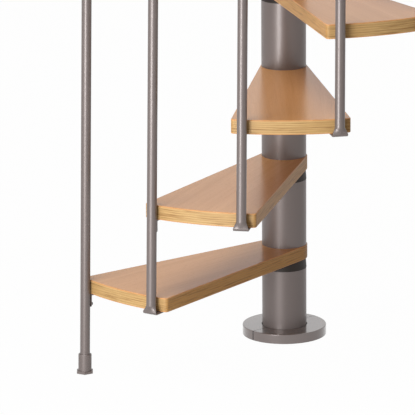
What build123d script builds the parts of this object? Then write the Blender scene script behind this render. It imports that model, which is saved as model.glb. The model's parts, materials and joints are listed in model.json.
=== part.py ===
from build123d import *
from math import acos, asin, atan2, cos, degrees, hypot, pi, radians, sin, sqrt, tan
import os

# Stair layout: climbs counter-clockwise seen from above
tread_count = 12
step_angle = 22.5
first_tread_angle = 225.0

# Column: base plate, then a tube, a spacer ring and a tread for each step
column_diameter = 101.6
column_wall = 2.5
tube_length = 153.5
spacer_height = 23.0
spacer_lip = 0.4
spacer_inset = 1.3
spacer_wall = 7.5

# Base plate and its two-part cover
base_plate_thickness = 4.0
base_plate_clearance = 3.5
anchor_edge_distance = 15.0
anchor_hole_diameter = 11.0
anchor_count = 4
cover_diameter = 192.0
cover_height = 22.0
cover_wall = 2.5
cover_edge_radius = 2.0
cover_bore_clearance = 1.5
cover_seam_angle = 220.0
cover_seam_gap = 1.2

# Treads
tread_thickness = 32.0
tread_radius = 530.0
tread_outer_width = 260.0
tread_inner_overhang = 2.2
tread_corner_radius = 8.0
tread_edge_radius = 1.5

# Balusters: they lean a little towards the column and in the direction of climb
baluster_diameter = 22.0
baluster_wall = 1.5
baluster_edge_gap = 1.5
inward_lean = 0.9
climb_lean = 0.5
rail_height = 930.0
flat_neck_height = 17.0
flat_outward_shift = 6.0
flat_bend_radius = 3.0
flat_reach_inside = 46.0

# Bracket that joins the baluster to the tread's underside, and the screw in it
bracket_width = 12.0
bracket_thickness = 2.8
bracket_drop = 30.0
bracket_reach = 28.0
bracket_bend_radius = 1.5
bracket_corner_radius = 5.0
screw_head_diameter = 8.0
screw_head_height = 4.5
screw_drop = 23.0

# Floor foot of the first baluster, and the same feet on the landing
foot_socket_wall = 3.75
foot_socket_height = 38.0
foot_socket_chamfer = 1.0
foot_nut_overhang = 3.0
foot_nut_thickness = 5.5
foot_nut_chamfer = 0.8
foot_tube_clearance = 0.5

# Handrail
handrail_diameter = 42.0
handrail_overrun = 60.0
end_cap_thickness = 6.0
end_cap_inset = 2.0

# Landing
angle_leg = 50.0
angle_thickness = 5.0
angle_end_distance = 100.0
newel_above_rail = 60.0
newel_cap_height = 12.0
newel_cap_overhang = 1.2
landing_baluster_count = 4
landing_baluster_edge_distance = 30.0
landing_rail_height = 900.0
landing_rail_overrun = 25.0

# Values worked out from the driving dimensions
column_radius = column_diameter / 2
base_plate_diameter = cover_diameter - 2 * cover_wall - 2 * base_plate_clearance
anchor_circle_diameter = base_plate_diameter - 2 * anchor_edge_distance
spacer_bottom_radius = column_radius + spacer_lip
spacer_top_radius = column_radius - spacer_inset
baluster_radius = baluster_diameter / 2
baluster_side = baluster_radius / cos(radians(inward_lean))
baluster_circle = tread_radius + baluster_edge_gap + baluster_side
rise = tube_length + spacer_height + tread_thickness
tread_inner_radius = column_radius + tread_inner_overhang
tread_half_angle = degrees(asin(tread_outer_width / 2 / tread_radius))
corner_to_baluster = tread_radius * sin(radians(tread_half_angle - step_angle / 2))
landing_number = tread_count + 1
landing_turn = asin((tread_inner_radius - corner_to_baluster) / baluster_circle)
landing_side = baluster_circle * cos(landing_turn) - baluster_side - baluster_edge_gap
flat_width = pi * baluster_radius
flat_thickness = 2 * baluster_wall
foot_socket_radius = baluster_radius + foot_socket_wall
newel_height = landing_rail_height + newel_above_rail
handrail_joints = (tread_count // 3, 2 * tread_count // 3)


def polar(radius, angle, z=0.0):
    return Vector(radius * cos(radians(angle)), radius * sin(radians(angle)), z)


def tread_angle(number):
    return first_tread_angle + (number - 1) * step_angle


def tread_top(number):
    return base_plate_thickness + number * rise


def baluster_angle(number):
    return tread_angle(number) + step_angle / 2


def rail_level(number):
    return tread_top(number + 1) + rail_height


landing_angle = baluster_angle(tread_count) + degrees(landing_turn)


def tube_between(outer_diameter, wall, low, high, place=(0, 0)):
    shell = Cylinder(outer_diameter / 2, high - low) - Cylinder(outer_diameter / 2 - wall, high - low)
    return Pos(place[0], place[1], (low + high) / 2) * shell


# The board's plan is bounded by the inner end's arc, two straight edges and the outer arc
def tread_board():
    corner = polar(tread_radius, tread_half_angle)
    touch_angle = tread_half_angle + degrees(acos(tread_inner_radius / tread_radius))
    touch = polar(tread_inner_radius, touch_angle)
    mirrored = [Vector(p.X, -p.Y) for p in (corner, touch)]
    outline = [
        ThreePointArc(mirrored[0], (tread_radius, 0), corner),
        Line(corner, touch),
        ThreePointArc(touch, (-tread_inner_radius, 0), mirrored[1]),
        Line(mirrored[1], mirrored[0]),
    ]
    board = extrude(make_face(outline), amount=tread_thickness)
    corners = board.edges().filter_by(Axis.Z).sort_by(Axis.X)[-2:]
    board = fillet(corners, tread_corner_radius)
    rims = board.faces().sort_by(Axis.Z)
    return fillet(rims[0].edges() + rims[-1].edges(), tread_edge_radius)


def tread(number):
    place = Pos(0, 0, tread_top(number) - tread_thickness) * Rot(0, 0, tread_angle(number))
    return place * tread_board()


def base_plate():
    plate = Pos(0, 0, base_plate_thickness / 2) * Cylinder(base_plate_diameter / 2, base_plate_thickness)
    for hole in PolarLocations(anchor_circle_diameter / 2, anchor_count, start_angle=45):
        plate -= hole * Cylinder(anchor_hole_diameter / 2, 4 * base_plate_thickness)
    return plate


# The cover is a shallow cup turned over, bored for the column and cut in two
def base_cover_halves():
    cup = Pos(0, 0, cover_height / 2) * Cylinder(cover_diameter / 2, cover_height)
    cup = fillet(cup.edges().group_by(Axis.Z)[-1], cover_edge_radius)
    room_height = cover_height - cover_wall
    cup -= Pos(0, 0, room_height / 2) * Cylinder(cover_diameter / 2 - cover_wall, room_height)
    cup -= Cylinder(column_radius + cover_bore_clearance, 4 * cover_height)
    cup -= Rot(0, 0, cover_seam_angle) * Box(2 * cover_diameter, cover_seam_gap, 4 * cover_height)
    normal_axis = Axis((0, 0, 0), polar(1, cover_seam_angle + 90))
    return cup.solids().sort_by(normal_axis)


def column_tube(number):
    low = tread_top(number - 1)
    return tube_between(column_diameter, column_wall, low, low + tube_length)


def spacer_ring(number):
    low = tread_top(number - 1) + tube_length
    ring = Cone(spacer_bottom_radius, spacer_top_radius, spacer_height)
    ring -= Cylinder(spacer_top_radius - spacer_wall, spacer_height)
    return Pos(0, 0, low + spacer_height / 2) * ring


# A baluster's frame stands at the top of the tread that it passes, with +X away from the column
def baluster_frame(number):
    place = polar(baluster_circle, baluster_angle(number), tread_top(number + 1))
    return Pos(*place) * Rot(0, 0, baluster_angle(number))


# The point of the leaning axis at this height in that frame
def on_axis(height):
    return Vector(-height * tan(radians(inward_lean)), height * tan(radians(climb_lean)), height)


axis_tilt = Plane(origin=(0, 0, 0), x_dir=(1, 0, 0), z_dir=on_axis(1)).location
axis_stretch = on_axis(1).length
rail_point = Vector(baluster_circle, 0, 0) + on_axis(rail_height)
rail_circle = hypot(rail_point.X, rail_point.Y)
rail_turn = degrees(atan2(rail_point.Y, rail_point.X))
overrun_steps = handrail_overrun / hypot(rise, rail_circle * radians(step_angle))


# Each baluster starts under one tread and passes the edge of the next
def baluster(number):
    low = flat_neck_height - tread_thickness - rise
    if number == 0:
        low = foot_nut_thickness + foot_tube_clearance - tread_top(1)
    tube = tube_between(baluster_diameter, baluster_wall, low * axis_stretch, rail_height * axis_stretch)
    return baluster_frame(number) * axis_tilt * tube


# The tube's lower end is pressed flat, which keeps its girth, and bent inward under the tread
def baluster_end(number):
    under = on_axis(-rise - tread_thickness)
    bend = flat_bend_radius + flat_thickness / 2
    middle = -flat_thickness / 2
    outside = Plane.XY.offset(middle + bend) * Pos(flat_outward_shift, 0)
    flat = outside * SlotOverall(flat_width, flat_thickness, rotation=90)
    round_end = Plane(origin=on_axis(flat_neck_height), x_dir=(1, 0, 0), z_dir=on_axis(1))
    neck = loft([flat, round_end * Circle(baluster_radius)])
    start = Vector(flat_outward_shift, 0, middle + bend)
    quarter = Vector(-bend * (1 - sqrt(0.5)), 0, -bend * sqrt(0.5))
    corner = start + Vector(-bend, 0, -bend)
    inner_end = Vector(tread_radius - flat_reach_inside - baluster_circle - under.X, 0, middle)
    path = ThreePointArc(start, start + quarter, corner) + Line(corner, inner_end)
    down = Plane(origin=start, x_dir=(1, 0, 0), z_dir=(0, 0, -1))
    tab = sweep(down * SlotOverall(flat_width, flat_thickness, rotation=90), path=path)
    return baluster_frame(number) * Pos(*under) * (neck + tab)


# A bent strip: one leg lies under the tread, the other hangs against the tube's inner side
def bracket_shape():
    slope = tan(radians(inward_lean))
    foot_x = -baluster_side + bracket_drop * slope
    inner_x = -baluster_side - bracket_reach
    bend_x = -baluster_side + bracket_thickness * slope - bracket_thickness
    hanging = [(-baluster_side, 0), (foot_x, -bracket_drop), (foot_x - bracket_thickness, -bracket_drop)]
    lying = [(bend_x, -bracket_thickness), (inner_x, -bracket_thickness), (inner_x, 0)]
    outline = make_face(Polyline(*hanging, *lying, close=True))
    bracket = extrude(Plane.XZ * outline, amount=bracket_width / 2, both=True)
    for level, radius in ((-1, bracket_bend_radius + bracket_thickness), (-2, bracket_bend_radius)):
        edge = bracket.edges().filter_by(Axis.Y).group_by(Axis.Z)[level].sort_by(Axis.X)[-1]
        bracket = fillet(edge, radius)
    corners = bracket.edges().filter_by(Axis.X).group_by(Axis.Z)[0]
    corners += bracket.edges().filter_by(Axis.Z).group_by(Axis.X)[0]
    return fillet(corners, bracket_corner_radius)


def bracket_place(number):
    return baluster_frame(number - 1) * Pos(*on_axis(-tread_thickness))


def bracket_screw(number):
    head = Pos(0, 0, screw_head_height / 2) * Cylinder(screw_head_diameter / 2, screw_head_height)
    head = fillet(head.edges().group_by(Axis.Z)[-1], screw_head_height / 3)
    seat = -baluster_side + screw_drop * tan(radians(inward_lean)) - bracket_thickness
    return bracket_place(number) * Pos(seat, 0, -screw_drop) * Rot(0, -90 - inward_lean, 0) * head


# A hexagonal nut with a socket on it that takes the tube's end and leans with it
def foot(tilt=Location()):
    hexagon = RegularPolygon(foot_socket_radius + foot_nut_overhang, 6, major_radius=False, rotation=30)
    nut = extrude(hexagon, foot_nut_thickness)
    nut = chamfer(nut.edges().group_by(Axis.Z)[-1], foot_nut_chamfer)
    socket_top = foot_nut_thickness + foot_socket_height
    socket = tube_between(2 * foot_socket_radius, foot_socket_wall, foot_nut_thickness / 2, socket_top)
    rim = socket.edges().group_by(Axis.Z)[-1].sort_by(SortBy.RADIUS)[-1]
    return nut + tilt * chamfer(rim, foot_socket_chamfer)


def first_foot():
    floor_point = (baluster_frame(0) * Pos(*on_axis(-tread_top(1)))).position
    return Pos(*floor_point) * foot(Rot(0, 0, baluster_angle(0)) * axis_tilt)


# The rail follows the helix through the balusters' heads, which stand in it up to its middle
def rail_place(steps):
    return Pos(0, 0, rail_level(steps)) * Rot(0, 0, baluster_angle(steps) + rail_turn)


def rail_bar(first, last):
    helix = Helix(rise * 360 / step_angle, (last - first) * rise, rail_circle)
    section = Plane(origin=helix @ 0, z_dir=helix % 0) * Circle(handrail_diameter / 2)
    bar = rail_place(first) * sweep(section, path=helix, is_frenet=True)
    head = Pos(0, 0, rail_height * axis_stretch - handrail_diameter)
    for number in range(tread_count + 1):
        if first - 1 < number < last + 1:
            bore = head * Cylinder(baluster_radius, 2 * handrail_diameter)
            bar -= baluster_frame(number) * axis_tilt * bore
    return bar


def end_cap():
    cap = Pos(0, 0, end_cap_thickness / 2) * Cylinder(handrail_diameter / 2 - end_cap_inset, end_cap_thickness)
    return fillet(cap.edges().group_by(Axis.Z)[-1], end_cap_thickness / 3)


# A cap closes the rail's end at this step, on the side that looks away from the stair
def helix_cap(steps, way):
    slope = degrees(atan2(rise, rail_circle * radians(step_angle)))
    return rail_place(steps) * Pos(rail_circle, 0, 0) * Rot(-way * 90 + slope, 0, 0) * end_cap()


# In the landing's own frame +X runs along its front edge and +Y along the guarded one
def landing_frame():
    return Pos(0, 0, tread_top(landing_number)) * Rot(0, 0, landing_angle)


def landing_board():
    inner = tread_inner_radius
    side = landing_side
    middle = polar(inner, 225)
    outline = [
        Polyline((0, -inner), (side, -inner), (side, side), (-inner, side), (-inner, 0)),
        ThreePointArc((-inner, 0), middle, (0, -inner)),
    ]
    board = Pos(0, 0, -tread_thickness) * extrude(make_face(outline), amount=tread_thickness)
    corners = board.edges().filter_by(Axis.Z)
    corners = [e for e in corners if e.center().X > side - 1 or e.center().Y > side - 1]
    board = fillet(corners, tread_corner_radius)
    rims = board.faces().sort_by(Axis.Z)
    return landing_frame() * fillet(rims[0].edges() + rims[-1].edges(), tread_edge_radius)


# Steel angle under the board's outer edge, with its upright leg flush with that edge
def landing_angle_bar(turn):
    length = landing_side + tread_inner_radius - 2 * angle_end_distance
    leg = Pos(-angle_leg / 2, 0, -angle_thickness / 2) * Box(angle_leg, length, angle_thickness)
    upright = Pos(-angle_thickness / 2, 0, -angle_leg / 2) * Box(angle_thickness, length, angle_leg)
    middle = (landing_side - tread_inner_radius) / 2
    place = Pos(landing_side, middle, 0) if turn == 0 else Pos(middle, landing_side, 0)
    return landing_frame() * place * Pos(0, 0, -tread_thickness) * Rot(0, 0, turn) * (leg + upright)


def newel_post():
    low = tread_top(landing_number)
    return tube_between(column_diameter, column_wall, low, low + newel_height)


def newel_cap():
    cap = Cylinder(column_radius + newel_cap_overhang, newel_cap_height)
    cap = fillet(cap.edges().group_by(Axis.Z)[-1], newel_cap_height / 3)
    return Pos(0, 0, tread_top(landing_number) + newel_height + newel_cap_height / 2) * cap


def landing_baluster_places():
    last = landing_side - landing_baluster_edge_distance
    pitch = (last - column_radius) / landing_baluster_count
    return [column_radius + (i + 1) * pitch for i in range(landing_baluster_count)]


def landing_baluster(place):
    return landing_frame() * tube_between(baluster_diameter, baluster_wall, foot_nut_thickness,
                                          landing_rail_height, (0, place))


def landing_rail():
    end = landing_baluster_places()[-1] + landing_rail_overrun
    bar = Pos(0, end / 2, landing_rail_height) * Rot(90, 0, 0) * Cylinder(handrail_diameter / 2, end)
    bar -= Cylinder(column_radius, 3 * landing_rail_height)
    for place in landing_baluster_places():
        bar -= Pos(0, place, landing_rail_height / 2) * Cylinder(baluster_radius, landing_rail_height)
    return landing_frame() * bar


def landing_rail_cap():
    end = landing_baluster_places()[-1] + landing_rail_overrun
    return landing_frame() * Pos(0, end, landing_rail_height) * Rot(-90, 0, 0) * end_cap()


def write(name, *shapes):
    solids = [solid for shape in shapes for solid in shape.solids()]
    export_step(Compound(children=solids, label=name), os.path.join("parts", name + ".step"))


os.makedirs("parts", exist_ok=True)
front_cover, back_cover = base_cover_halves()
write("base_plate", base_plate())
write("base_cover_front", front_cover)
write("base_cover_back", back_cover)
write("column_tubes", *[column_tube(n) for n in range(1, landing_number + 1)])
write("spacer_rings", *[spacer_ring(n) for n in range(1, landing_number + 1)])
for n in range(1, tread_count + 1):
    write(f"tread_{n:02d}", tread(n))
for n in range(tread_count + 1):
    write(f"baluster_{n:02d}", baluster(n))
write("baluster_foot", first_foot())
write("baluster_ends", *[baluster_end(n) for n in range(1, tread_count + 1)])
write("edge_brackets", *[bracket_place(n) * bracket_shape() for n in range(1, landing_number + 1)])
write("bracket_screws", *[bracket_screw(n) for n in range(1, landing_number + 1)])
write("handrail_lower", rail_bar(-overrun_steps, handrail_joints[0]))
write("handrail_middle", rail_bar(*handrail_joints))
write("handrail_upper", rail_bar(handrail_joints[1], tread_count + overrun_steps))
write("handrail_ends", helix_cap(-overrun_steps, -1), helix_cap(tread_count + overrun_steps, 1),
      landing_rail_cap())
write("landing_board", landing_board())
write("landing_angle_side", landing_angle_bar(0))
write("landing_angle_end", landing_angle_bar(90))
write("newel_post", newel_post())
write("newel_cap", newel_cap())
write("landing_balusters", *[landing_baluster(p) for p in landing_baluster_places()])
write("landing_feet", *[landing_frame() * Pos(0, p, 0) * foot() for p in landing_baluster_places()])
write("landing_rail", landing_rail())
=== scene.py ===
import json
import math

import bmesh
import bpy
from mathutils import Matrix, Vector


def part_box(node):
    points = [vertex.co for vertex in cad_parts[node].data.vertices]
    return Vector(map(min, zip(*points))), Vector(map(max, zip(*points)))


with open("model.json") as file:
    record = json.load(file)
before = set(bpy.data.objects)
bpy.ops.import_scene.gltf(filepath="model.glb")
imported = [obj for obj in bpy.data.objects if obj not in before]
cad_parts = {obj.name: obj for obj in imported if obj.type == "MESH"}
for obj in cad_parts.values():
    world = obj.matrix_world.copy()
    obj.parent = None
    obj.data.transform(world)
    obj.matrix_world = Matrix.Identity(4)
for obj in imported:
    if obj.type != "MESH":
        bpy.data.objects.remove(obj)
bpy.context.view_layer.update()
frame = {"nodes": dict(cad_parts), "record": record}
mm = 0.001

scene = bpy.context.scene
scene.view_settings.view_transform = "Standard"


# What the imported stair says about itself
def centreOf(node):
    low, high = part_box(node)
    return (low + high) / 2


treadNodes = sorted(name for name in frame["nodes"] if name[:6] == "tread_" and name[6:].isdigit())
balusterNodes = sorted(name for name in frame["nodes"] if name[:9] == "baluster_" and name[9:].isdigit())
mounts = {mount["name"]: mount for mount in frame["record"]["mounts"]}
landingAxis = Vector(mounts["landing_side_face"]["axis"])
landingTurn = math.atan2(landingAxis.y, landingAxis.x)

treadLow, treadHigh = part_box(treadNodes[0])
treadThickness = treadHigh.z - treadLow.z
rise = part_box(treadNodes[1])[1].z - treadHigh.z
balusterCircle = Vector((centreOf(balusterNodes[0]).x, centreOf(balusterNodes[0]).y)).length


def balusterTurn(number):
    place = centreOf(balusterNodes[number])
    return math.atan2(place.y, place.x)


stepTurn = (balusterTurn(1) - balusterTurn(0)) % (2 * math.pi)


def treadTurn(number):                         # treads are numbered from 1, and the third points to -Y
    return (number - 3) * stepTurn - math.pi / 2


# Camera: a long lens, a little to the left of the column and above it
view = {
    "lens": 389.4,                             # mm, on a 36 mm sensor
    "distance": 10.2515,
    "aim": (-0.1749, 0.0020, 0.2981),
    "heading": 0.668,                          # degrees to the right of +Y
    "pitch": 14.721,
    "roll": -0.40,
}


def buildCamera():
    camera = bpy.data.objects.new("photoCamera", bpy.data.cameras.new("photoCamera"))
    scene.collection.objects.link(camera)
    camera.data.lens = view["lens"]
    camera.data.clip_end = 100
    turn = Matrix.Rotation(math.radians(-view["heading"]), 4, "Z")
    tilt = Matrix.Rotation(math.radians(90 - view["pitch"]), 4, "X")
    roll = Matrix.Rotation(math.radians(view["roll"]), 4, "Z")
    back = Matrix.Translation((0, 0, view["distance"]))
    camera.matrix_world = Matrix.Translation(view["aim"]) @ turn @ tilt @ roll @ back
    scene.camera = camera


buildCamera()
print("camera placed")


# Shared steps for materials
def toLinear(hexColour):
    channels = [int(hexColour[i:i + 2], 16) / 255 for i in (0, 2, 4)]
    return [c / 12.92 if c <= 0.04045 else ((c + 0.055) / 1.055) ** 2.4 for c in channels] + [1.0]


def perMetre(millimetres):                     # texture scale for a pattern of that size
    return 1000 / millimetres


def addNode(tree, kind, inputs=None, **settings):
    node = tree.nodes.new("ShaderNode" + kind)
    for name, value in settings.items():
        setattr(node, name, value)
    for name, value in (inputs or {}).items():
        if isinstance(value, bpy.types.NodeSocket):
            tree.links.new(value, node.inputs[name])
        else:
            node.inputs[name].default_value = value
    return node


def newMaterial(name, **values):
    material = bpy.data.materials.new(name)
    material.use_nodes = True
    tree = material.node_tree
    shader = tree.nodes["Principled BSDF"]
    for socket, value in values.items():
        shader.inputs[socket.replace("_", " ")].default_value = value
    return material, tree, shader


def dress(node, material):
    piece = frame["nodes"][node] if isinstance(node, str) else node
    piece.data.materials.clear()
    piece.data.materials.append(material)


# Studio: pale floor, white surroundings, a low strip light close by at the left front, a tall one
# further round and a wide one above
studio = {
    "floorRadius": 14.0,
    "floorSides": 64,
    "floorRoughness": 0.9,
    "floorColour": "C4C2BE",
    "floorGlow": 0.985,                         # share of plain white that the eye sees in the floor
    "ambientColour": "FFE8D0",
    "ambient": 0.21,
    "keyTurn": -117.0,                         # degrees about the column, seen from above
    "keyDistance": 3.0,
    "keyHeight": 0.3,
    "keySize": (1.1, 0.6),
    "keyPower": 52.0,
    "sideTurn": -130.0,
    "sideDistance": 3.6,
    "sideHeight": 2.3,
    "sideSize": (1.5, 3.4),
    "sidePower": 34.0,
    "topPlace": (-1.2, -1.6, 6.0),
    "topAim": (0, 0, 0.8),
    "topSize": (3.0, 3.0),
    "topPower": 205.0,
}


def seenByEye(tree):                           # 1 for the camera and for what shows in metal or glass
    path = addNode(tree, "LightPath")
    seen = addNode(tree, "Math", {0: path.outputs["Is Camera Ray"], 1: path.outputs["Is Glossy Ray"]})
    seen = addNode(tree, "Math", {0: seen.outputs[0], 1: path.outputs["Is Transmission Ray"]},
                   use_clamp=True)
    return seen.outputs[0]


def buildWorld():
    world = bpy.data.worlds.new("studioWorld")
    scene.world = world
    world.use_nodes = True
    tree = world.node_tree
    tree.nodes.clear()
    light = addNode(tree, "Background", {"Color": toLinear(studio["ambientColour"]),
                                         "Strength": studio["ambient"]})
    white = addNode(tree, "Background", {"Color": (1, 1, 1, 1), "Strength": 1.0})
    both = addNode(tree, "MixShader", {0: seenByEye(tree), 1: light.outputs[0], 2: white.outputs[0]})
    addNode(tree, "OutputWorld", {"Surface": both.outputs[0]})


def floorMaterial():                           # matt paper sweep: even, almost white, takes soft shadows
    material, tree, shader = newMaterial("mattPaperSweep", Roughness=studio["floorRoughness"])
    shader.inputs["Base Color"].default_value = toLinear(studio["floorColour"])
    shader.inputs["Specular IOR Level"].default_value = 0.0
    share = addNode(tree, "Math", {0: seenByEye(tree), 1: studio["floorGlow"]}, operation="MULTIPLY")
    white = addNode(tree, "Emission", {"Color": (1, 1, 1, 1), "Strength": 1.0})
    both = addNode(tree, "MixShader", {0: share.outputs[0], 1: shader.outputs[0], 2: white.outputs[0]})
    tree.links.new(both.outputs[0], tree.nodes["Material Output"].inputs["Surface"])
    return material


def buildFloor():
    bm = bmesh.new()
    bmesh.ops.create_circle(bm, cap_ends=True, segments=studio["floorSides"],
                            radius=studio["floorRadius"])
    mesh = bpy.data.meshes.new("studioFloor")
    bm.to_mesh(mesh)
    bm.free()
    floor = bpy.data.objects.new("studioFloor", mesh)
    scene.collection.objects.link(floor)
    mesh.materials.append(floorMaterial())


def areaLight(name, place, aim, size, power):
    data = bpy.data.lights.new(name, "AREA")
    data.shape = "RECTANGLE"
    data.size, data.size_y = size
    data.energy = power
    lamp = bpy.data.objects.new(name, data)
    scene.collection.objects.link(lamp)
    aimed = (Vector(aim) - Vector(place)).to_track_quat("-Z", "Y").to_matrix().to_4x4()
    lamp.matrix_world = Matrix.Translation(place) @ aimed
    lamp.visible_camera = False


def buildLights():
    for name in ("key", "side"):
        turn = math.radians(studio[name + "Turn"])
        reach, height = studio[name + "Distance"], studio[name + "Height"]
        place = (reach * math.cos(turn), reach * math.sin(turn), height)
        areaLight(name + "Strip", place, (0, 0, height), studio[name + "Size"], studio[name + "Power"])
    areaLight("topSoftbox", studio["topPlace"], studio["topAim"], studio["topSize"], studio["topPower"])


buildWorld()
buildFloor()
buildLights()
print("studio built")


# Metallic powder coat on steel: soft gloss over a fine orange peel, with flakes just visible close up
silverPaint = {
    "colour": "6E6563",
    "flakeColour": "857D7B",
    "metallic": 0.35,
    "roughness": 0.42,
    "coat": 0.12,
    "coatRoughness": 0.16,
    "flakeSize": 0.5,                          # mm; real flakes are finer, this is the least that shows
    "flakeShare": 0.35,
    "flakeRange": (0.45, 0.75),                # noise levels where a flake starts and is full
    "peelSize": 1.8,
    "peelDepth": 0.012,
}


def paintMaterial(name, paint):
    material, tree, shader = newMaterial(name, Metallic=paint["metallic"], Roughness=paint["roughness"],
                                         Coat_Weight=paint["coat"],
                                         Coat_Roughness=paint["coatRoughness"])
    place = addNode(tree, "TexCoord").outputs["Object"]
    flakes = addNode(tree, "TexNoise", {"Vector": place, "Scale": perMetre(paint["flakeSize"]),
                                        "Detail": 1.0})
    share = addNode(tree, "MapRange", {"Value": flakes.outputs[0], "From Min": paint["flakeRange"][0],
                                       "From Max": paint["flakeRange"][1],
                                       "To Max": paint["flakeShare"]})
    colour = addNode(tree, "Mix", {0: share.outputs[0], 6: toLinear(paint["colour"]),
                                   7: toLinear(paint["flakeColour"])}, data_type="RGBA")
    peel = addNode(tree, "TexNoise", {"Vector": place, "Scale": perMetre(paint["peelSize"]),
                                      "Detail": 2.0})
    bump = addNode(tree, "Bump", {"Height": peel.outputs[0], "Distance": paint["peelDepth"] * mm})
    tree.links.new(colour.outputs[2], shader.inputs["Base Color"])
    tree.links.new(bump.outputs[0], shader.inputs["Normal"])
    return material


# Lacquered pressed-steel cover: the same silver, smoother and glossier
coverPaint = dict(silverPaint, colour="7A706E", roughness=0.24, coat=0.8, coatRoughness=0.06,
                  peelDepth=0.006)

# The gap between the halves is too thin to show in the render, so painted shade is laid in a dark band
# along it on the rim
coverSeamShade = {
    "turn": 220.0,                             # degrees about the column, seen from above
    "halfWidth": 1.7,                          # mm, drawn as wide as it needs to show
    "fade": 0.5,
    "strength": 0.9,
    "colour": "1E1B19",
    "rimLevel": (0.8, 0.4),                    # the normal's z where the rim starts and is full
}


def shadeSeam(material):
    tree = material.node_tree
    shader = tree.nodes["Principled BSDF"]
    coordinates = addNode(tree, "TexCoord")
    turned = addNode(tree, "Mapping", {"Vector": coordinates.outputs["Object"],
                                       "Rotation": (0, 0, -math.radians(coverSeamShade["turn"]))})
    aside = addNode(tree, "SeparateXYZ", {0: turned.outputs[0]})
    distance = addNode(tree, "Math", {0: aside.outputs[1]}, operation="ABSOLUTE")
    edge = coverSeamShade["halfWidth"] * mm
    near = addNode(tree, "MapRange", {"Value": distance.outputs[0], "From Min": edge,
                                      "From Max": edge - coverSeamShade["fade"] * mm,
                                      "To Max": coverSeamShade["strength"]})
    up = addNode(tree, "SeparateXYZ", {0: coordinates.outputs["Normal"]})
    rim = addNode(tree, "MapRange", {"Value": up.outputs[2], "From Min": coverSeamShade["rimLevel"][0],
                                     "From Max": coverSeamShade["rimLevel"][1]})
    front = addNode(tree, "Math", {0: aside.outputs[0], 1: 0.0}, operation="GREATER_THAN")
    share = addNode(tree, "Math", {0: near.outputs[0], 1: rim.outputs[0]}, operation="MULTIPLY")
    share = addNode(tree, "Math", {0: share.outputs[0], 1: front.outputs[0]}, operation="MULTIPLY")
    lacquer = shader.inputs["Base Color"].links[0].from_socket
    # painted shade: the lacquer colour is darkened in the band along the seam
    colour = addNode(tree, "Mix", {0: share.outputs[0], 6: lacquer,
                                   7: toLinear(coverSeamShade["colour"])}, data_type="RGBA")
    tree.links.new(colour.outputs[2], shader.inputs["Base Color"])


# Grey powder coat on the angles: plainer and duller
bracketPaint = dict(silverPaint, colour="6A6663", flakeColour="7A7673", metallic=0.1, roughness=0.5,
                    coat=0.0, peelSize=1.2, peelDepth=0.02)

# Black oxide on the screws: dark, slightly oily sheen. The hidden base plate gets it as painted shade
# behind the cover's seam
screwOxideAndPlateShade = dict(silverPaint, colour="1C1B1A", flakeColour="2A2927", metallic=0.7, roughness=0.38,
                  coat=0.0, peelSize=0.8, peelDepth=0.008)

# Moulded ABS rings: dull sheen over a fine spark-eroded grain
ringPlastic = {
    "colour": "1D140E",
    "roughness": 0.55,
    "gloss": 0.3,                              # specular level
    "grainSize": 0.6,
    "grainDepth": 0.02,
}


def plasticMaterial(name, plastic):
    material, tree, shader = newMaterial(name, Roughness=plastic["roughness"], IOR=1.53)
    shader.inputs["Base Color"].default_value = toLinear(plastic["colour"])
    shader.inputs["Specular IOR Level"].default_value = plastic["gloss"]
    place = addNode(tree, "TexCoord").outputs["Object"]
    grain = addNode(tree, "TexNoise", {"Vector": place, "Scale": perMetre(plastic["grainSize"]),
                                       "Detail": 3.0})
    bump = addNode(tree, "Bump", {"Height": grain.outputs[0], "Distance": plastic["grainDepth"] * mm})
    tree.links.new(bump.outputs[0], shader.inputs["Normal"])
    return material


silver = paintMaterial("silverPowderCoat", silverPaint)
coverLacquer = paintMaterial("silverGlossLacquer", coverPaint)
shadeSeam(coverLacquer)
greyCoat = paintMaterial("greyPowderCoat", bracketPaint)
darkOxideAndPlateShade = paintMaterial("darkOxideSteelAndPlateShade", screwOxideAndPlateShade)
mouldedAbs = plasticMaterial("mouldedAbs", ringPlastic)
print("metal and plastic finishes made")


# Beech under clear lacquer: pinkish tan, long faint figure, short dark flecks along the grain
beech = {
    "pale": "D6A069",
    "deep": "C8915A",
    "fleck": "AA7543",
    "fibreWidth": 1.6,                         # mm across the grain
    "fibreLength": 90.0,
    "figureShare": 0.075,                      # figure bands are this much coarser than fibres
    "fineShare": 0.4,
    "toneRange": (0.32, 0.68),                 # noise levels that give the pale and the deep colour
    "fleckWidth": 0.7,
    "fleckLength": 5.0,                        # real ones are finer; this is the least that shows
    "fleckRange": (0.6, 0.74),
    "fleckStrength": 0.45,
    "gloss": 0.25,                             # specular level of the thin lacquer
    "roughness": 0.24,
    "edgeRoughness": 0.5,
    "poreDepth": 0.02,
}

# Multi-ply under the same lacquer: pale yellow veneers on edge, every other one end grain, with dark
# glue lines and some darker veneers
multiPly = {
    "plies": 13,
    "pale": "CBAD7A",
    "shadedLongSide": "C78F4C",                      # painted shade: the edges that follow the face grain are a deeper orange, as in warm bounced shade
    "endGrain": "BC9864",
    "glue": "7E5A32",
    "glueWidth": 0.12,                         # share of a ply on each side of the line
    "glueStrength": 0.8,
    "streak": "7C5226",
    "streakLength": 70.0,                      # mm along the edge, and across it
    "streakWidth": 1.7,
    "streakRange": (0.5, 0.66),
    "streakStrength": 0.7,
    "plyShift": 37.0,                          # mm across the log, from one ply to the next
    "boardShift": 1370.0,                      # mm across the log, for a metre of the board's height
    "streakShift": 531.0,                      # the streaks' own, in their pattern's units for a metre
    "faceMargin": 0.05,                        # mm, keeps the faces inside the outer plies
    "edgeLevel": (0.95, 0.6),                  # the normal's z where the edge starts and is full
}


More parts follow.
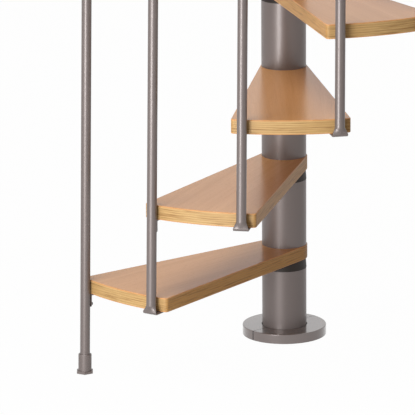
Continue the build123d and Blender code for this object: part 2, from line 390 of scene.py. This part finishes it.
def beechColour(tree, grain):                  # grain is a vector: millimetres with x along the fibres
    fibreScale = (1 / beech["fibreLength"], 1 / beech["fibreWidth"], 1 / beech["fibreWidth"])
    fibres = addNode(tree, "VectorMath", {0: grain, 1: fibreScale}, operation="MULTIPLY").outputs[0]
    fine = addNode(tree, "TexNoise", {"Vector": fibres, "Scale": 1.0, "Detail": 3.0, "Roughness": 0.6})
    figure = addNode(tree, "TexNoise", {"Vector": fibres, "Scale": beech["figureShare"], "Detail": 2.0,
                                        "Distortion": 0.6})
    tone = addNode(tree, "Mix", {0: beech["fineShare"], 2: figure.outputs[0], 3: fine.outputs[0]})
    spread = addNode(tree, "MapRange", {"Value": tone.outputs[0], "From Min": beech["toneRange"][0],
                                        "From Max": beech["toneRange"][1]})
    colour = addNode(tree, "Mix", {0: spread.outputs[0], 6: toLinear(beech["pale"]),
                                   7: toLinear(beech["deep"])}, data_type="RGBA")
    fleckScale = (1 / beech["fleckLength"], 1 / beech["fleckWidth"], 1 / beech["fleckWidth"])
    flecks = addNode(tree, "VectorMath", {0: grain, 1: fleckScale}, operation="MULTIPLY").outputs[0]
    flecks = addNode(tree, "TexNoise", {"Vector": flecks, "Scale": 0.6, "Detail": 1.0})
    share = addNode(tree, "MapRange", {"Value": flecks.outputs[0], "From Min": beech["fleckRange"][0],
                                       "From Max": beech["fleckRange"][1],
                                       "To Max": beech["fleckStrength"]})
    colour = addNode(tree, "Mix", {0: share.outputs[0], 6: colour.outputs[2],
                                   7: toLinear(beech["fleck"])}, data_type="RGBA")
    return colour.outputs[2], fine.outputs[0]


def finishWood(tree, shader, colour, pores):
    shader.inputs["Specular IOR Level"].default_value = beech["gloss"]
    bump = addNode(tree, "Bump", {"Height": pores, "Distance": beech["poreDepth"] * mm})
    tree.links.new(colour, shader.inputs["Base Color"])
    tree.links.new(bump.outputs[0], shader.inputs["Normal"])


# In a board's own frame x runs along the face grain and z counts up from the underside
def plyMaterial(name, node, turn):
    material, tree, shader = newMaterial(name, Roughness=beech["roughness"])
    coordinates = addNode(tree, "TexCoord")
    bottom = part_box(node)[0].z
    board = addNode(tree, "Mapping", {"Vector": coordinates.outputs["Object"], "Rotation": (0, 0, -turn),
                                      "Location": (0, 0, -bottom)})
    inMillimetres = addNode(tree, "VectorMath", {0: board.outputs[0], "Scale": perMetre(1)},
                            operation="SCALE")
    parts = addNode(tree, "SeparateXYZ", {0: inMillimetres.outputs[0]})
    thickness = treadThickness / mm
    inside = addNode(tree, "Clamp", {0: parts.outputs[2], 1: multiPly["faceMargin"],
                                     2: thickness - multiPly["faceMargin"]})
    ply = addNode(tree, "Math", {0: inside.outputs[0], 1: thickness / multiPly["plies"]},
                  operation="DIVIDE")
    index = addNode(tree, "Math", {0: ply.outputs[0]}, operation="FLOOR").outputs[0]
    cross = addNode(tree, "Math", {0: index, 1: 2.0}, operation="MODULO").outputs[0]
    # each ply is cut from another place of the log, and every board starts elsewhere
    shift = addNode(tree, "Math", {0: index, 1: multiPly["plyShift"]}, operation="MULTIPLY").outputs[0]
    shift = addNode(tree, "Math", {0: shift, 1: bottom * multiPly["boardShift"]}).outputs[0]
    along = addNode(tree, "CombineXYZ", {0: parts.outputs[0], 1: parts.outputs[1], 2: shift})
    across = addNode(tree, "CombineXYZ", {0: parts.outputs[1], 1: parts.outputs[0], 2: shift})
    grain = addNode(tree, "Mix", {0: cross, 4: along.outputs[0], 5: across.outputs[0]},
                    data_type="VECTOR")
    face, pores = beechColour(tree, grain.outputs[1])
    # a ply shows end grain where its fibres point out of the surface
    normal = addNode(tree, "Mapping", {"Vector": coordinates.outputs["Normal"],
                                       "Rotation": (0, 0, -turn)})
    normal = addNode(tree, "VectorMath", {0: normal.outputs[0]}, operation="ABSOLUTE")
    facing = addNode(tree, "SeparateXYZ", {0: normal.outputs[0]})
    ends = addNode(tree, "Mix", {0: cross, 2: facing.outputs[0], 3: facing.outputs[1]})
    # painted shade: edges along the face grain are mixed towards the deeper orange of warm bounced shade
    side = addNode(tree, "Mix", {0: facing.outputs[1], 6: toLinear(multiPly["pale"]),
                                 7: toLinear(multiPly["shadedLongSide"])}, data_type="RGBA")
    edge = addNode(tree, "Mix", {0: ends.outputs[0], 6: side.outputs[2],
                                 7: toLinear(multiPly["endGrain"])}, data_type="RGBA")
    # veneers wander and break along the edge, and some run darker
    long, thin = perMetre(multiPly["streakLength"]), perMetre(multiPly["streakWidth"])
    streaks = addNode(tree, "VectorMath", {0: board.outputs[0], 1: (long, long, thin)},
                      operation="MULTIPLY")
    streaks = addNode(tree, "VectorMath", {0: streaks.outputs[0],
                                           1: (0, 0, bottom * multiPly["streakShift"])}, operation="ADD")
    streaks = addNode(tree, "TexNoise", {"Vector": streaks.outputs[0], "Scale": 1.0, "Detail": 2.0,
                                         "Distortion": 0.5})
    tone = addNode(tree, "MapRange", {"Value": streaks.outputs[0],
                                      "From Min": multiPly["streakRange"][0],
                                      "From Max": multiPly["streakRange"][1],
                                      "To Max": multiPly["streakStrength"]})
    edge = addNode(tree, "Mix", {0: tone.outputs[0], 6: edge.outputs[2],
                                 7: toLinear(multiPly["streak"])}, data_type="RGBA")
    depth = addNode(tree, "Math", {0: index, 1: (multiPly["plies"] - 1) / 2}, operation="SUBTRACT")
    depth = addNode(tree, "Math", {0: depth.outputs[0]}, operation="ABSOLUTE")
    isFace = addNode(tree, "Math", {0: depth.outputs[0], 1: multiPly["plies"] / 2 - 1},
                     operation="GREATER_THAN")
    colour = addNode(tree, "Mix", {0: isFace.outputs[0], 6: edge.outputs[2], 7: face}, data_type="RGBA")
    middle = addNode(tree, "Math", {0: ply.outputs[0], 1: 0.5}, operation="PINGPONG")
    line = addNode(tree, "MapRange", {"Value": middle.outputs[0], "From Min": multiPly["glueWidth"],
                                      "From Max": 0.0, "To Max": multiPly["glueStrength"]})
    upright = addNode(tree, "MapRange", {"Value": facing.outputs[2],
                                         "From Min": multiPly["edgeLevel"][0],
                                         "From Max": multiPly["edgeLevel"][1]})
    line = addNode(tree, "Math", {0: line.outputs[0], 1: upright.outputs[0]}, operation="MULTIPLY")
    rough = addNode(tree, "MapRange", {"Value": upright.outputs[0], "To Min": beech["roughness"],
                                       "To Max": beech["edgeRoughness"]})
    tree.links.new(rough.outputs[0], shader.inputs["Roughness"])
    colour = addNode(tree, "Mix", {0: line.outputs[0], 6: colour.outputs[2],
                                   7: toLinear(multiPly["glue"])}, data_type="RGBA")
    finishWood(tree, shader, colour.outputs[2], pores)
    return material


# Solid beech bent to the stair's helix, so its fibres follow the rail
def railMaterial():
    material, tree, shader = newMaterial("lacqueredSolidBeech", Roughness=beech["roughness"])
    place = addNode(tree, "TexCoord").outputs["Object"]
    parts = addNode(tree, "SeparateXYZ", {0: place})
    turn = addNode(tree, "Math", {0: parts.outputs[1], 1: parts.outputs[0]},
                   operation="ARCTAN2").outputs[0]
    flat = addNode(tree, "VectorMath", {0: place, 1: (1, 1, 0)}, operation="MULTIPLY")
    radius = addNode(tree, "VectorMath", {0: flat.outputs[0]}, operation="LENGTH").outputs["Value"]
    climb = addNode(tree, "Math", {0: turn, 1: rise / stepTurn}, operation="MULTIPLY").outputs[0]
    height = addNode(tree, "Math", {0: parts.outputs[2], 1: climb}, operation="SUBTRACT").outputs[0]
    run = math.hypot(balusterCircle, rise / stepTurn)
    along = addNode(tree, "Math", {0: turn, 1: run}, operation="MULTIPLY").outputs[0]
    bent = addNode(tree, "CombineXYZ", {0: along, 1: radius, 2: height})
    grain = addNode(tree, "VectorMath", {0: bent.outputs[0], "Scale": perMetre(1)}, operation="SCALE")
    colour, pores = beechColour(tree, grain.outputs[0])
    finishWood(tree, shader, colour, pores)
    return material


def straightRailMaterial():
    material, tree, shader = newMaterial("lacqueredSolidBeechStraight", Roughness=beech["roughness"])
    place = addNode(tree, "TexCoord").outputs["Object"]
    alongX = addNode(tree, "Mapping", {"Vector": place, "Rotation": (0, 0, -landingTurn - math.pi / 2)})
    grain = addNode(tree, "VectorMath", {0: alongX.outputs[0], "Scale": perMetre(1)}, operation="SCALE")
    colour, pores = beechColour(tree, grain.outputs[0])
    finishWood(tree, shader, colour, pores)
    return material


for number, node in enumerate(treadNodes, 1):
    dress(node, plyMaterial("beechMultiPly%02d" % number, node, treadTurn(number)))
dress("landing_board", plyMaterial("beechMultiPlyLanding", "landing_board", landingTurn))
bentBeech = railMaterial()
for node in ("handrail_lower", "handrail_middle", "handrail_upper"):
    dress(node, bentBeech)
dress("landing_rail", straightRailMaterial())
print("wood dressed")

for node in balusterNodes + ["column_tubes", "newel_post", "newel_cap", "baluster_ends", "baluster_foot",
                             "edge_brackets", "landing_balusters", "landing_feet", "handrail_ends"]:
    dress(node, silver)
for node in ("base_cover_front", "base_cover_back"):
    dress(node, coverLacquer)
for node in ("landing_angle_side", "landing_angle_end"):
    dress(node, greyCoat)
dress("base_plate", darkOxideAndPlateShade)                # hidden under the cover; its dark finish is painted shade behind the cover's seam
dress("spacer_rings", mouldedAbs)
dress("bracket_screws", darkOxideAndPlateShade)
print("metal dressed")
